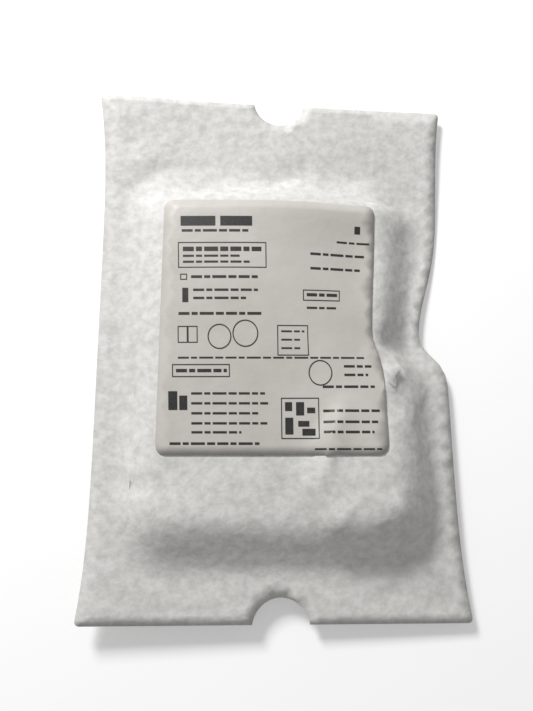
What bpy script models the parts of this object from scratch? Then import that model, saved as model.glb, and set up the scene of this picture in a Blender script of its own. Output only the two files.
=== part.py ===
"""A sealed sterile peel pouch with an adhesive label, lying face up.

The pouch is one closed solid. Its upper face is the crumpled spunbonded web, drawn tight over the
contents. Its lower face is the formed pocket, whose flat floor is what the pouch lies on. The head
and the foot each have a thumb notch. The label follows every fold of the web beneath it.

The web is laid out flat as one triangulated sheet whose edges run along the folds, the label's
outline and the pocket's mouth. Every vertex is then lifted to its height and drawn in at the sides.

Metres, +Z up, +Y towards the head. The origin is on the floor, under the middle of the pouch.
"""

import math
from dataclasses import dataclass

import bpy
import numpy as np
from mathutils import Vector, kdtree
from mathutils.geometry import delaunay_2d_cdt

MM = 0.001

# The flat blank that the pouch is cut from.
POUCH_WIDTH = 131 * MM
POUCH_LENGTH = 188 * MM
BLANK_CORNER_RADIUS = 1.8 * MM
RIM_THICKNESS = 0.5 * MM

# The thumb notches, which are arcs of a circle centred just off each end.
NOTCH_RADIUS = 9.6 * MM
NOTCH_CENTRE_OUTSIDE = 1.2 * MM
NOTCH_SIDE_SHIFT = 1.8 * MM

# The formed pocket, measured in from the edges of the blank.
HEAD_SEAL = 36 * MM
FOOT_SEAL = 24 * MM
SIDE_SEAL = 14.5 * MM
POCKET_CORNER_RADIUS = 15 * MM
POCKET_WALL_INSET = 7 * MM

# How high the web lies: its rim at the four corners, and its face over the contents.
RIM_HEIGHT_HEAD_LEFT = 13.5 * MM
RIM_HEIGHT_HEAD_RIGHT = 3.0 * MM
RIM_HEIGHT_FOOT_LEFT = 7.5 * MM
RIM_HEIGHT_FOOT_RIGHT = 3.5 * MM
CONTENTS_HEIGHT = 16 * MM
SHOULDER_RUN_IN = 11 * MM
SHOULDER_RUN_OUT = 9 * MM

# How far the bulging web draws its sides in.
WAIST = 3.4 * MM
TUCK_DEPTH = 9.4 * MM
TUCK_PLACE = 0.02
TUCK_REACH_HEADWARD = 0.28
TUCK_REACH_FOOTWARD = 0.085

# The adhesive label.
LABEL_WIDTH = 80 * MM
LABEL_HEIGHT = 90 * MM
LABEL_CORNER_RADIUS = 3.2 * MM
LABEL_THICKNESS = 0.15 * MM
LABEL_GAP = 0.3 * MM
LABEL_LEFT_OF_CENTRE = 1.6 * MM
LABEL_ABOVE_CENTRE = 5.5 * MM

# The spacing of the sheet's vertices.
MESH_STEP = 3.7 * MM
NOTCH_SEGMENTS = 20
CORNER_SEGMENTS = 3
WALL_SEGMENTS = 4

HALF_WIDTH = POUCH_WIDTH / 2
HALF_LENGTH = POUCH_LENGTH / 2


@dataclass
class Fold:
    """A crease from start to end, as shares of the half width and half length.

    It rises, or sinks where rise is negative, and runs out over its own width on each side.
    """

    start: tuple
    end: tuple
    rise: float
    run_left: float
    run_right: float

    def ends(self):
        """The crease's two ends, in metres."""
        return [np.array([u * HALF_WIDTH, v * HALF_LENGTH]) for u, v in (self.start, self.end)]

    def height(self, x, y):
        """How far the crease lifts each point."""
        first, last = self.ends()
        length = np.linalg.norm(last - first)
        along_x, along_y = (last - first) / length
        share = ((x - first[0]) * along_x + (y - first[1]) * along_y) / length
        taper = np.clip(1 - (2 * share - 1) ** 2, 0, None)
        leftward = (y - first[1]) * along_x - (x - first[0]) * along_y
        run = np.where(leftward > 0, self.run_left, self.run_right)
        return self.rise * taper * np.clip(1 - np.abs(leftward) / run, 0, None) ** 2


@dataclass
class Bulge:
    """A soft hump, or a hollow where rise is negative, over one of the things inside."""

    centre: tuple
    radius_across: float
    radius_along: float
    rise: float

    def height(self, x, y):
        """How far the hump lifts each point."""
        across = (x - self.centre[0] * HALF_WIDTH) / self.radius_across
        along = (y - self.centre[1] * HALF_LENGTH) / self.radius_along
        return self.rise * np.exp(-(across**2 + along**2))


BULGES = [
    Bulge((0.62, 0.42), 24 * MM, 26 * MM, -5.5 * MM),  # the web falls away beside the label
    Bulge((0.50, -0.48), 20 * MM, 24 * MM, 3.2 * MM),  # the clamp, under the foot end
    Bulge((-0.25, 0.15), 30 * MM, 40 * MM, 0.8 * MM),  # the needle's housing
    Bulge((0.70, -0.03), 11 * MM, 8 * MM, -3.4 * MM),  # the hollow behind the tuck
    Bulge((0.05, -0.60), 13 * MM, 10 * MM, -1.3 * MM),  # slack web between coil and clamp
    Bulge((-0.86, 0.98), 22 * MM, 20 * MM, 1.6 * MM),  # the head's left corner curls up
]

FOLDS = [
    # above the label, where the web dips before the head seal
    Fold((-0.70, 0.58), (0.05, 0.65), -1.9 * MM, 9 * MM, 5 * MM),
    Fold((-0.10, 0.62), (0.26, 0.73), -1.6 * MM, 5 * MM, 8 * MM),
    Fold((0.24, 0.67), (0.62, 0.55), -1.3 * MM, 8 * MM, 4 * MM),
    Fold((0.50, 0.57), (0.90, 0.59), -1.7 * MM, 8 * MM, 2.5 * MM),
    Fold((-0.98, 0.66), (-0.52, 0.79), 1.0 * MM, 12 * MM, 6 * MM),
    Fold((0.10, 0.70), (0.16, 0.60), 0.7 * MM, 4 * MM, 3 * MM),
    # the left side, along the pocket's edge
    Fold((-0.77, 0.02), (-0.79, -0.50), -1.1 * MM, 3 * MM, 4 * MM),
    Fold((-0.97, -0.53), (-0.42, -0.50), -0.9 * MM, 4 * MM, 6 * MM),
    # the ridge that leaves the label's foot
    Fold((0.36, -0.20), (0.17, -0.60), 2.1 * MM, 12 * MM, 3.6 * MM),
    # the shoulder along the right flank
    Fold((0.75, -0.25), (0.80, -0.80), 2.6 * MM, 8 * MM, 15 * MM),
    # the crumple in the hollow behind the tuck
    Fold((0.50, -0.12), (0.72, 0.10), 1.3 * MM, 7 * MM, 4 * MM),
    Fold((0.58, -0.18), (0.78, -0.06), 1.9 * MM, 3.5 * MM, 3 * MM),
    Fold((0.62, -0.30), (0.68, -0.10), -1.5 * MM, 4 * MM, 3 * MM),
    Fold((0.66, -0.36), (0.86, -0.14), 1.1 * MM, 4 * MM, 4 * MM),
    # short creases near the foot
    Fold((0.28, -0.72), (0.36, -0.57), 1.3 * MM, 3 * MM, 4 * MM),
    Fold((0.53, -0.66), (0.67, -0.55), 1.1 * MM, 4 * MM, 3 * MM),
    Fold((0.50, -0.63), (0.74, -0.74), -1.3 * MM, 5 * MM, 5 * MM),
    Fold((0.10, -0.60), (0.30, -0.72), -0.8 * MM, 4 * MM, 4 * MM),
    Fold((0.72, -0.90), (0.92, -0.80), 0.9 * MM, 5 * MM, 6 * MM),
]


def smooth_step(share):
    """Runs from 0 to 1 with level ends."""
    share = np.clip(share, 0, 1)
    return share * share * (3 - 2 * share)


def pocket_box():
    """The pocket's mouth as its lowest and highest corner on the blank."""
    low = np.array([-HALF_WIDTH + SIDE_SEAL, -HALF_LENGTH + FOOT_SEAL])
    high = np.array([HALF_WIDTH - SIDE_SEAL, HALF_LENGTH - HEAD_SEAL])
    return low, high


def label_box():
    """The label as its lowest and highest corner on the blank."""
    centre = np.array([-LABEL_LEFT_OF_CENTRE, LABEL_ABOVE_CENTRE])
    half = np.array([LABEL_WIDTH, LABEL_HEIGHT]) / 2
    return centre - half, centre + half


def depth_inside(points, low, high, radius):
    """How deep each point lies inside a rounded rectangle; negative outside it."""
    away = np.abs(points - (low + high) / 2) - (high - low) / 2 + radius
    outside = np.linalg.norm(np.clip(away, 0, None), axis=1)
    return radius - outside - np.clip(away.max(axis=1), None, 0)


def outward_of(points, low, high, radius):
    """The outward direction of a rounded rectangle at points on its outline."""
    away = points - np.clip(points, low + radius, high - radius)
    return away / np.linalg.norm(away, axis=1)[:, None]


def web_height(points):
    """The height of the web's upper face over points of the flat blank."""
    x, y = points[:, 0], points[:, 1]
    right, head = (1 + x / HALF_WIDTH) / 2, (1 + y / HALF_LENGTH) / 2
    head_rim = RIM_HEIGHT_HEAD_LEFT * (1 - right) + RIM_HEIGHT_HEAD_RIGHT * right
    foot_rim = RIM_HEIGHT_FOOT_LEFT * (1 - right) + RIM_HEIGHT_FOOT_RIGHT * right
    rim = head_rim * head + foot_rim * (1 - head)
    depth = depth_inside(points, *pocket_box(), POCKET_CORNER_RADIUS)
    filled = smooth_step((depth + SHOULDER_RUN_OUT) / (SHOULDER_RUN_OUT + SHOULDER_RUN_IN))
    height = rim + (CONTENTS_HEIGHT - rim) * filled
    height = height + sum(feature.height(x, y) for feature in BULGES + FOLDS)
    return np.maximum(height, 2 * RIM_THICKNESS)


def drawn_in(points):
    """Where points of the flat blank come to lie once the sides are drawn in."""
    x, share = points[:, 0], points[:, 1] / HALF_LENGTH
    waist = WAIST * (1 - np.abs(share) ** 5)
    reach = np.where(share > TUCK_PLACE, TUCK_REACH_HEADWARD, TUCK_REACH_FOOTWARD)
    tuck = TUCK_DEPTH * np.exp(-(((share - TUCK_PLACE) / reach) ** 2)) * (1 - share**4)
    out = x / HALF_WIDTH
    pull = waist * out + tuck * np.clip(out, 0, None) ** 2
    return np.column_stack([x - pull, points[:, 1]])


def arc(centre, radius, first_angle, last_angle, segments):
    """Points along an arc, both ends included."""
    angles = np.linspace(first_angle, last_angle, segments + 1)
    return [centre + radius * np.array([math.cos(a), math.sin(a)]) for a in angles]


def spaced(corners, step, closed=True):
    """The outline again, with points about a step apart on its long edges."""
    points = []
    following = corners[1:] + corners[:1] if closed else corners[1:]
    for here, there in zip(corners, following):
        count = max(1, round(float(np.linalg.norm(there - here)) / step))
        points += [here + (there - here) * i / count for i in range(count)]
    return points if closed else points + [corners[-1]]


def rounded_rectangle(low, high, radius):
    """The corner points of a rounded rectangle, anticlockwise."""
    inner_low, inner_high = low + radius, high - radius
    centres = [
        inner_low,
        np.array([inner_high[0], inner_low[1]]),
        inner_high,
        np.array([inner_low[0], inner_high[1]]),
    ]
    points = []
    for quarter, centre in enumerate(centres):
        first = math.pi + quarter * math.pi / 2
        points += arc(centre, radius, first, first + math.pi / 2, CORNER_SEGMENTS)
    return points


def blank_outline():
    """The blank's outline, anticlockwise, with a thumb notch in its foot and its head."""
    corner = np.array([HALF_WIDTH, HALF_LENGTH])
    points = rounded_rectangle(-corner, corner, BLANK_CORNER_RADIUS)
    lip = math.asin(NOTCH_CENTRE_OUTSIDE / NOTCH_RADIUS)
    off_end = HALF_LENGTH + NOTCH_CENTRE_OUTSIDE
    foot_centre = np.array([NOTCH_SIDE_SHIFT, -off_end])
    head_centre = np.array([NOTCH_SIDE_SHIFT, off_end])
    foot = arc(foot_centre, NOTCH_RADIUS, math.pi - lip, lip, NOTCH_SEGMENTS)
    head = arc(head_centre, NOTCH_RADIUS, -lip, lip - math.pi, NOTCH_SEGMENTS)
    per_corner = CORNER_SEGMENTS + 1
    left, right = points[:per_corner], points[per_corner : 3 * per_corner]
    return left + foot + right + head + points[3 * per_corner :]


def lattice():
    """Evenly spread points over the blank, in rows like a honeycomb."""
    row_gap = MESH_STEP * math.sqrt(3) / 2
    rows = int(POUCH_LENGTH / row_gap)
    points = []
    for row in range(rows + 1):
        y = -HALF_LENGTH + row * row_gap
        start = -HALF_WIDTH + (row % 2) * MESH_STEP / 2
        count = int((HALF_WIDTH - start) / MESH_STEP)
        points += [np.array([start + i * MESH_STEP, y]) for i in range(count + 1)]
    return points


def clear_of(points, fixed, distance):
    """The points that keep their distance from every fixed one."""
    tree = kdtree.KDTree(len(fixed))
    for i, point in enumerate(fixed):
        tree.insert((point[0], point[1], 0), i)
    tree.balance()
    return [p for p in points if tree.find((p[0], p[1], 0))[2] > distance]


def on_blank(point):
    """Whether a point lies on the blank, clear of its edges and notches."""
    margin = MESH_STEP / 2
    off_end = HALF_LENGTH + NOTCH_CENTRE_OUTSIDE
    from_notch = math.hypot(point[0] - NOTCH_SIDE_SHIFT, off_end - abs(point[1]))
    inside = abs(point[0]) < HALF_WIDTH - margin and abs(point[1]) < HALF_LENGTH - margin
    return inside and from_notch > NOTCH_RADIUS + margin


def triangulated_blank():
    """The flat blank as points and anticlockwise triangles, with edges along every outline."""
    outlines = [
        spaced(blank_outline(), MESH_STEP),
        spaced(rounded_rectangle(*label_box(), LABEL_CORNER_RADIUS), MESH_STEP),
        spaced(rounded_rectangle(*pocket_box(), POCKET_CORNER_RADIUS), MESH_STEP),
    ]
    points, edges = [], []
    for outline in outlines:
        first, count = len(points), len(outline)
        points += outline
        edges += [(first + i, first + (i + 1) % count) for i in range(count)]
    for fold in FOLDS:
        free = [p for p in spaced(fold.ends(), MESH_STEP / 2, closed=False) if on_blank(p)]
        points += clear_of(free, points, MESH_STEP / 3)
    free = [p for p in lattice() if on_blank(p)]
    points += clear_of(free, points, MESH_STEP * 0.6)
    flat, _, faces, *_ = delaunay_2d_cdt([Vector(p) for p in points], edges, [], 1, 1e-9)
    flat = np.array([tuple(p) for p in flat])
    used = sorted({i for face in faces for i in face})
    place = {old: new for new, old in enumerate(used)}
    triangles = np.array([[place[i] for i in face] for face in faces])
    flat = flat[used]
    a, b, c = (flat[triangles[:, k]] for k in range(3))
    area = np.cross(b - a, c - a)
    triangles[area < 0] = triangles[area < 0][:, ::-1]
    return flat, triangles


def within(flat, triangles, low, high, radius):
    """Which triangles lie inside a rounded rectangle."""
    return depth_inside(flat[triangles].mean(axis=1), low, high, radius) > 0


def open_edges(triangles):
    """The directed edges that only one of these triangles has."""
    edges = {(int(t[k]), int(t[(k + 1) % 3])) for t in triangles for k in range(3)}
    return sorted(edge for edge in edges if edge[::-1] not in edges)


def new_object(name, vertices, faces, material):
    """An object of this mesh in the scene, shaded smooth with its sharp folds kept."""
    mesh = bpy.data.meshes.new(name)
    mesh.from_pydata([tuple(v) for v in vertices], [], faces)
    mesh.validate()
    mesh.shade_smooth()
    mesh.set_sharp_from_angle(angle=math.radians(50))
    mesh.materials.append(material)
    made = bpy.data.objects.new(name, mesh)
    bpy.context.scene.collection.objects.link(made)
    return made


def new_material(name, colour, roughness):
    """A plain opaque material."""
    material = bpy.data.materials.new(name)
    material.use_nodes = True
    shader = material.node_tree.nodes["Principled BSDF"]
    shader.inputs["Base Color"].default_value = (*colour, 1)
    shader.inputs["Roughness"].default_value = roughness
    shader.inputs["Metallic"].default_value = 0
    return material


def make_pouch(flat, triangles):
    """The sealed pouch: the web above, the rim's underside and the formed pocket below."""
    low, high = pocket_box()
    over_pocket = within(flat, triangles, low, high, POCKET_CORNER_RADIUS)
    top = web_height(flat)
    count = len(flat)
    plan = drawn_in(flat)
    vertices = [(*p, z) for p, z in zip(plan, top)]
    vertices += [(*p, z - RIM_THICKNESS) for p, z in zip(plan, top)]
    faces = [tuple(t) for t in triangles]
    faces += [tuple(t[::-1] + count) for t in triangles[~over_pocket]]
    faces += [(a, a + count, b + count, b) for a, b in open_edges(triangles)]

    mouth = open_edges(triangles[over_pocket])
    ring_points = sorted({a for a, _ in mouth})
    at_mouth = flat[ring_points]
    outward = outward_of(at_mouth, low, high, POCKET_CORNER_RADIUS)
    mouth_height = top[ring_points] - RIM_THICKNESS
    above = {i: i + count for i in ring_points}
    for step in range(1, WALL_SEGMENTS + 1):
        turn = step / WALL_SEGMENTS * math.pi / 2
        inset = POCKET_WALL_INSET * (1 - math.cos(turn))
        ring = drawn_in(at_mouth - outward * inset)
        height = mouth_height * (1 - math.sin(turn)) if step < WALL_SEGMENTS else mouth_height * 0
        below = {i: len(vertices) + n for n, i in enumerate(ring_points)}
        vertices += [(*p, z) for p, z in zip(ring, height)]
        faces += [(above[a], below[a], below[b], above[b]) for a, b in mouth]
        above = below
    follows = dict(mouth)
    floor, here = [], ring_points[0]
    while len(floor) < len(ring_points):
        floor.append(above[here])
        here = follows[here]
    faces.append(tuple(reversed(floor)))
    used = sorted({i for face in faces for i in face})
    place = {old: new for new, old in enumerate(used)}
    faces = [tuple(place[i] for i in face) for face in faces]
    material = new_material("spunbonded_web", (0.80, 0.80, 0.78), 0.6)
    return new_object("pouch", [vertices[i] for i in used], faces, material)


def make_label(flat, triangles):
    """The adhesive label, a thin sheet over the web, with the web's own folds."""
    covered = triangles[within(flat, triangles, *label_box(), LABEL_CORNER_RADIUS)]
    used = sorted({int(i) for i in covered.reshape(-1)})
    place = {old: new for new, old in enumerate(used)}
    covered = np.array([[place[int(i)] for i in t] for t in covered])
    count = len(used)
    plan, underside = drawn_in(flat[used]), web_height(flat[used]) + LABEL_GAP
    vertices = [(*p, z + LABEL_THICKNESS) for p, z in zip(plan, underside)]
    vertices += [(*p, z) for p, z in zip(plan, underside)]
    faces = [tuple(t) for t in covered] + [tuple(t[::-1] + count) for t in covered]
    faces += [(a, a + count, b + count, b) for a, b in open_edges(covered)]
    return new_object("label", vertices, faces, new_material("label_paper", (0.80, 0.79, 0.76), 0.5))


def main():
    """Clears the scene and builds the pouch and its label."""
    for old in list(bpy.data.objects):
        bpy.data.objects.remove(old)
    flat, triangles = triangulated_blank()
    make_pouch(flat, triangles)
    make_label(flat, triangles)


main()
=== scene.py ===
"""The finished look of a sealed sterile peel pouch with a printed adhesive label."""

import logging
import math
from dataclasses import dataclass
from enum import Enum
from typing import Any

import bmesh
import bpy
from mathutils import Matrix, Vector
from mathutils.bvhtree import BVHTree


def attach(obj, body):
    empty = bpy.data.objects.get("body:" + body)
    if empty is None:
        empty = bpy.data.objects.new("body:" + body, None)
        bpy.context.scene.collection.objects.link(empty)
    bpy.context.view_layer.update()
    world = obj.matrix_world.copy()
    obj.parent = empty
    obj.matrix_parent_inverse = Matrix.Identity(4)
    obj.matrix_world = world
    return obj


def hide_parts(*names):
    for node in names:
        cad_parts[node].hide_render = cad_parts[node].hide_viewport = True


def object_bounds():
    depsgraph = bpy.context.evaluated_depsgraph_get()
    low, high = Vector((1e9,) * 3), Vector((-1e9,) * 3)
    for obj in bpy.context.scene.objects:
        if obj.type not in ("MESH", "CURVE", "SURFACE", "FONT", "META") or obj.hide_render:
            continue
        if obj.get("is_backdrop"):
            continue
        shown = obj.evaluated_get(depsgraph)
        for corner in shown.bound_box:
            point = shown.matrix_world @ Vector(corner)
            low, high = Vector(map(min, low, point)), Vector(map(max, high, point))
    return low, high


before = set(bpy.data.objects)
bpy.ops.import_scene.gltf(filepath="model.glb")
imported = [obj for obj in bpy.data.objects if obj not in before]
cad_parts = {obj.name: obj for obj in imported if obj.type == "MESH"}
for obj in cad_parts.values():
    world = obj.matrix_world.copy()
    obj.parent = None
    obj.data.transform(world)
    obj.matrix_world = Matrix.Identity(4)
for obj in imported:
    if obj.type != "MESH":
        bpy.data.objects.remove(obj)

LOG = logging.getLogger("pouch")
MM = 0.001
HALF_WIDTH = 65.5
HALF_LENGTH = 94.0
LABEL_LOW = (-41.6, -39.5)
LABEL_SIZE = (80.0, 90.0)


class Tone(Enum):
    """The colours of the materials, as sRGB hex."""

    WEB = "#F0EFEC"
    WEB_CLOUD = "#DCDBD7"
    LABEL = "#D8D4CE"
    LABEL_SHADE = "#D1CDC6"
    INK = "#2A2929"
    INK_WORN = "#3B3A39"
    FLOOR = "#DCDCDA"


def linear(tone: Tone) -> tuple[float, float, float, float]:
    """Turns an sRGB hex colour into the linear one that shaders take.

    Args:
        tone: the colour.

    Returns:
        Red, green, blue and alpha.
    """
    parts = [int(tone.value[i : i + 2], 16) / 255 for i in (1, 3, 5)]
    red, green, blue = (p / 12.92 if p <= 0.04045 else ((p + 0.055) / 1.055) ** 2.4 for p in parts)
    return red, green, blue, 1.0


def add(tree: Any, kind: str, settings: dict, links: dict | None = None) -> Any:
    """Adds a node with its settings and links.

    Args:
        tree: the node tree.
        kind: the node's type.
        settings: attribute or socket values by name.
        links: output sockets by the input that each one feeds.

    Returns:
        The node.
    """
    node = tree.nodes.new(kind)
    for name, value in settings.items():
        if name in node.inputs:
            node.inputs[name].default_value = value
        else:
            setattr(node, name, value)
    for name, socket in (links or {}).items():
        tree.links.new(socket, node.inputs[name])
    return node


@dataclass(frozen=True)
class Finish:
    """A sheet material whose tone wanders in soft clouds over a fine relief."""

    name: str
    base: Tone
    cloud: Tone
    cloud_mm: float
    relief_mm: float
    relief_depth_mm: float
    roughness: float

    def build(self) -> bpy.types.Material:
        """Makes the material.

        Returns:
            The material.
        """
        material = bpy.data.materials.new(self.name)
        material.use_nodes = True
        tree = material.node_tree
        tree.nodes.clear()
        place = add(tree, "ShaderNodeTexCoord", {}).outputs["Object"]
        clouds = add(
            tree,
            "ShaderNodeTexNoise",
            {"Scale": 1 / (self.cloud_mm * MM), "Detail": 4.0, "Roughness": 0.6},
            {"Vector": place},
        )
        ramp = add(tree, "ShaderNodeValToRGB", {}, {"Fac": clouds.outputs["Fac"]})
        ramp.color_ramp.elements[0].position = 0.35
        ramp.color_ramp.elements[0].color = linear(self.cloud)
        ramp.color_ramp.elements[1].position = 0.62
        ramp.color_ramp.elements[1].color = linear(self.base)
        relief = add(
            tree,
            "ShaderNodeTexNoise",
            {"Scale": 1 / (self.relief_mm * MM), "Detail": 3.0, "Roughness": 0.5},
            {"Vector": place},
        )
        bump = add(
            tree,
            "ShaderNodeBump",
            {"Strength": 1.0, "Distance": self.relief_depth_mm * MM},
            {"Height": relief.outputs["Fac"]},
        )
        shader = add(
            tree,
            "ShaderNodeBsdfPrincipled",
            {"Roughness": self.roughness},
            {"Base Color": ramp.outputs["Color"], "Normal": bump.outputs["Normal"]},
        )
        add(tree, "ShaderNodeOutputMaterial", {}, {"Surface": shader.outputs["BSDF"]})
        return material


# Spunbonded olefin: cloudy clumps of fibre some 4 mm across, over a soft crumple.
WEB_FINISH = Finish("spunbonded_web", Tone.WEB, Tone.WEB_CLOUD, 3.0, 6.0, 0.45, 0.6)
# Coated label paper: smoother and warmer than the web, with a faint wave.
LABEL_FINISH = Finish("label_paper", Tone.LABEL, Tone.LABEL_SHADE, 18.0, 9.0, 0.25, 0.48)
# Thermal print: near black, a little worn where the ribbon skipped.
INK_FINISH = Finish("label_ink", Tone.INK, Tone.INK_WORN, 0.8, 2.0, 0.02, 0.5)


@dataclass
class Skin:
    """A finished sheet that takes the shape of its CAD node."""

    node: str
    finish: Finish

    def build(self) -> bpy.types.Object:
        """Copies the node's mesh, welds it, shades it and gives it its finish.

        Returns:
            The piece.
        """
        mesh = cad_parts[self.node].data.copy()
        work = bmesh.new()
        work.from_mesh(mesh)
        bmesh.ops.remove_doubles(work, verts=work.verts, dist=0.01 * MM)
        work.to_mesh(mesh)
        work.free()
        mesh.shade_smooth()
        mesh.set_sharp_from_angle(angle=math.radians(50))
        mesh.materials.clear()
        mesh.materials.append(self.finish.build())
        piece = bpy.data.objects.new(f"{self.node}_skin", mesh)
        bpy.context.scene.collection.objects.link(piece)
        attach(piece, "root")
        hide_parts(self.node)
        LOG.info("%s has %d faces", piece.name, len(mesh.polygons))
        return piece


def on_label(px: float, py: float) -> tuple[float, float]:
    """Where a place on the photographed label lies on the model, in mm.

    Args:
        px: across the photo.
        py: down the photo.

    Returns:
        The place's x and y.
    """
    down = (py - 220) / 246
    left = 165 - 12 * down
    right = 379 + 7 * down
    x = LABEL_LOW[0] + LABEL_SIZE[0] * (px - left) / (right - left)
    y = LABEL_LOW[1] + LABEL_SIZE[1] * (1 - down)
    out = x / HALF_WIDTH
    share = y / HALF_LENGTH
    reach = 0.28 if share > 0.02 else 0.085
    tuck = 9.4 * math.exp(-(((share - 0.02) / reach) ** 2)) * (1 - share**4)
    return x - 3.4 * (1 - abs(share) ** 5) * out - tuck * max(out, 0.0) ** 2, y


@dataclass
class Print:
    """Greeked print, draped on the label as bars, boxes and rings."""

    label: bpy.types.Object

    def build(self) -> bpy.types.Object:
        """Drapes every bar, box and ring on the label.

        Returns:
            The piece.
        """
        self.surface = BVHTree.FromPolygons(
            [v.co for v in self.label.data.vertices],
            [tuple(p.vertices) for p in self.label.data.polygons],
        )
        self.points: list[Vector] = []
        self.faces: list[tuple[int, ...]] = []
        for bar in BARS:
            self.bar(*bar)
        for words in WORDS:
            self.words(*words)
        for box in BOXES:
            self.box(*box)
        for ring in RINGS:
            self.ring(*ring)
        mesh = bpy.data.meshes.new("label_print")
        mesh.from_pydata(self.points, [], self.faces)
        mesh.shade_smooth()
        mesh.materials.append(INK_FINISH.build())
        piece = bpy.data.objects.new("label_print", mesh)
        bpy.context.scene.collection.objects.link(piece)
        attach(piece, "root")
        LOG.info("%s has %d faces", piece.name, len(self.faces))
        return piece

    def drape(self, px: float, py: float) -> int:
        """Adds a point of the print, resting on the label.

        Args:
            px: across the photo.
            py: down the photo.

        Returns:
            The point's index.
        """
        x, y = on_label(px, py)
        hit = self.surface.ray_cast(Vector((x * MM, y * MM, 0.1)), Vector((0, 0, -1)))[0]
        height = hit.z if hit else 0.016
        self.points.append(Vector((x * MM, y * MM, height + 0.08 * MM)))
        return len(self.points) - 1

    def bar(self, left: float, top: float, right: float, bottom: float) -> None:
        """Adds a filled bar, cut into short cells so that it bends with the label."""
        across = max(1, round((right - left) / 2.5))
        down = max(1, round((bottom - top) / 2.5))
        rows = [
            [
                self.drape(left + (right - left) * i / across, top + (bottom - top) * j / down)
                for i in range(across + 1)
            ]
            for j in range(down + 1)
        ]
        for upper, lower in zip(rows, rows[1:]):
            for i in range(across):
                self.faces.append((lower[i], lower[i + 1], upper[i + 1], upper[i]))

    def words(self, left: float, right: float, middle: float, thickness: float) -> None:
        """Adds a line of text as word bars of uneven length."""
        lengths = (11.0, 6.0, 14.0, 8.0)
        at = left
        turn = 0
        while at < right - 2:
            end = min(right, at + lengths[turn % 4])
            self.bar(at, middle - thickness / 2, end, middle + thickness / 2)
            at = end + 2.2
            turn += 1

    def box(self, left: float, top: float, right: float, bottom: float) -> None:
        """Adds the outline of a box."""
        line = 0.9
        self.bar(left, top, right, top + line)
        self.bar(left, bottom - line, right, bottom)
        self.bar(left, top + line, left + line, bottom - line)
        self.bar(right - line, top + line, right, bottom - line)

    def ring(self, px: float, py: float, radius: float) -> None:
        """Adds a plain ring."""
        steps = 28
        turns = [2 * math.pi * i / steps for i in range(steps)]
        outer = [self.drape(px + radius * math.cos(t), py - radius * math.sin(t)) for t in turns]
        thin = radius - 1.1
        inner = [self.drape(px + thin * math.cos(t), py - thin * math.sin(t)) for t in turns]
        for i in range(steps):
            j = (i + 1) % steps
            self.faces.append((inner[i], outer[i], outer[j], inner[j]))


# Filled bars: left, top, right, bottom.
BARS = (
    (181, 238, 216, 248),
    (221, 238, 253, 248),
    (182, 311, 188, 325),
    (167, 409, 176, 426),
    (178, 413, 186, 426),
    (284, 419, 291, 427),
    (295, 419, 303, 431),
    (306, 424, 314, 429),
    (284, 433, 292, 448),
    (297, 436, 308, 441),
    (301, 443, 314, 449),
    (359, 243, 365, 251),
)
# Lines of text: left, right, middle, thickness.
WORDS = (
    (182, 251, 253, 2.4),
    (183, 262, 272, 4.4),
    (183, 240, 279, 2.0),
    (183, 254, 285, 2.0),
    (191, 262, 300, 2.6),
    (193, 258, 313, 2.2),
    (193, 246, 321, 2.2),
    (178, 262, 336, 2.6),
    (177, 366, 378, 1.6),
    (175, 226, 390, 3.0),
    (190, 264, 411, 2.0),
    (190, 267, 420, 2.0),
    (190, 258, 429, 2.0),
    (190, 266, 438, 2.0),
    (190, 240, 446, 2.0),
    (168, 258, 456, 2.2),
    (340, 376, 261, 2.0),
    (312, 370, 275, 2.4),
    (312, 366, 290, 2.4),
    (308, 341, 317, 3.0),
    (308, 340, 330, 2.0),
    (344, 372, 386, 2.2),
    (344, 368, 394, 2.2),
    (322, 374, 405, 2.2),
    (322, 378, 427, 2.2),
    (322, 376, 437, 2.2),
    (322, 372, 446, 2.2),
    (313, 379, 461, 1.6),
    (281, 305, 353, 1.6),
    (281, 301, 361, 1.6),
    (281, 304, 369, 1.6),
)
# Outlined boxes: left, top, right, bottom.
BOXES = (
    (178, 265, 267, 291),
    (180, 297, 187, 303),
    (177, 348, 187, 364),
    (187, 348, 197, 364),
    (277, 347, 309, 376),
    (171, 384, 229, 396),
    (280, 415, 318, 452),
    (304, 312, 344, 323),
)
# Plain rings: centre and radius.
RINGS = ((219, 358, 12), (245, 355, 13), (320, 392, 12))


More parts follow.
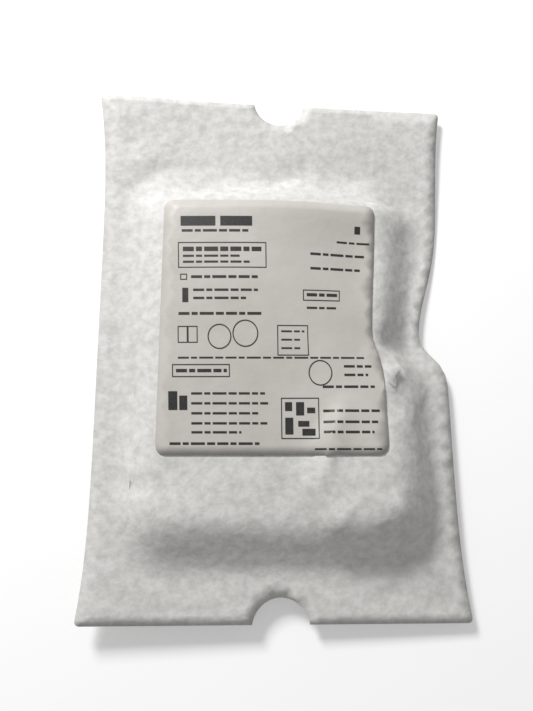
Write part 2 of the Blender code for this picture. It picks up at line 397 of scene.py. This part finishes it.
@dataclass
class Studio:
    """The floor, the soft light and the camera."""

    def build(self) -> None:
        """Sets up everything that isn't the object."""
        self.floor()
        self.lights()
        self.camera()

    def floor(self) -> None:
        """Makes a pale floor that the camera sees as white, and that keeps the shadow."""
        bpy.ops.mesh.primitive_plane_add(size=4)
        floor = bpy.context.object
        floor.name = "floor"
        material = bpy.data.materials.new("floor")
        material.use_nodes = True
        tree = material.node_tree
        tree.nodes.clear()
        plain = add(tree, "ShaderNodeBsdfDiffuse", {"Color": linear(Tone.FLOOR)})
        bright = add(tree, "ShaderNodeBsdfDiffuse", {"Color": (1.0, 1.0, 1.0, 1.0)})
        glow = add(tree, "ShaderNodeEmission", {"Strength": 0.25})
        lit = add(tree, "ShaderNodeAddShader", {})
        tree.links.new(bright.outputs[0], lit.inputs[0])
        tree.links.new(glow.outputs[0], lit.inputs[1])
        path = add(tree, "ShaderNodeLightPath", {})
        mix = add(tree, "ShaderNodeMixShader", {})
        tree.links.new(path.outputs["Is Camera Ray"], mix.inputs[0])
        tree.links.new(plain.outputs[0], mix.inputs[1])
        tree.links.new(lit.outputs[0], mix.inputs[2])
        add(tree, "ShaderNodeOutputMaterial", {}, {"Surface": mix.outputs[0]})
        floor.data.materials.append(material)
        floor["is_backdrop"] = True

    def lights(self) -> None:
        """Lights the pouch softly, from its head and left."""
        world = bpy.data.worlds.new("world")
        world.use_nodes = True
        world.node_tree.nodes["Background"].inputs["Color"].default_value = (1.0, 1.0, 1.0, 1.0)
        world.node_tree.nodes["Background"].inputs["Strength"].default_value = 0.28
        bpy.context.scene.world = world
        data = bpy.data.lights.new("window", "AREA")
        data.size = 0.22
        data.energy = 7.0
        window = bpy.data.objects.new("window", data)
        window.location = (-0.38, 0.62, 0.5)
        window.rotation_euler = (-window.location).to_track_quat("-Z", "Y").to_euler()
        bpy.context.scene.collection.objects.link(window)
        window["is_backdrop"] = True

    def camera(self) -> None:
        """Stands the camera where the photo was taken from."""
        data = bpy.data.cameras.new("camera")
        data.sensor_width = 36
        data.lens = 27.04
        camera = bpy.data.objects.new("camera", data)
        camera.location = (-0.0030, -0.0409, 0.1935)
        camera.rotation_euler = (math.radians(11), 0, 0)
        bpy.context.scene.collection.objects.link(camera)
        bpy.context.scene.camera = camera


def plain(value: Any) -> Any:
    """Turns vectors and tuples into plain lists of numbers.


    Returns:
        The same as plain lists.
    """
    if isinstance(value, dict):
        return {key: plain(part) for key, part in value.items()}
    if hasattr(value, "__len__") and not isinstance(value, str):
        return [plain(part) for part in value]
    return value


def main() -> None:
    """Builds the pouch, its label, the print and the studio."""
    logging.basicConfig(level=logging.INFO)
    before = plain(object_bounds())
    Skin("pouch", WEB_FINISH).build()
    label = Skin("label", LABEL_FINISH).build()
    Print(label).build()
    Studio().build()
    bpy.context.scene.view_settings.view_transform = "Standard"
    after = plain(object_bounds())


if __name__ == "__main__":
    main()
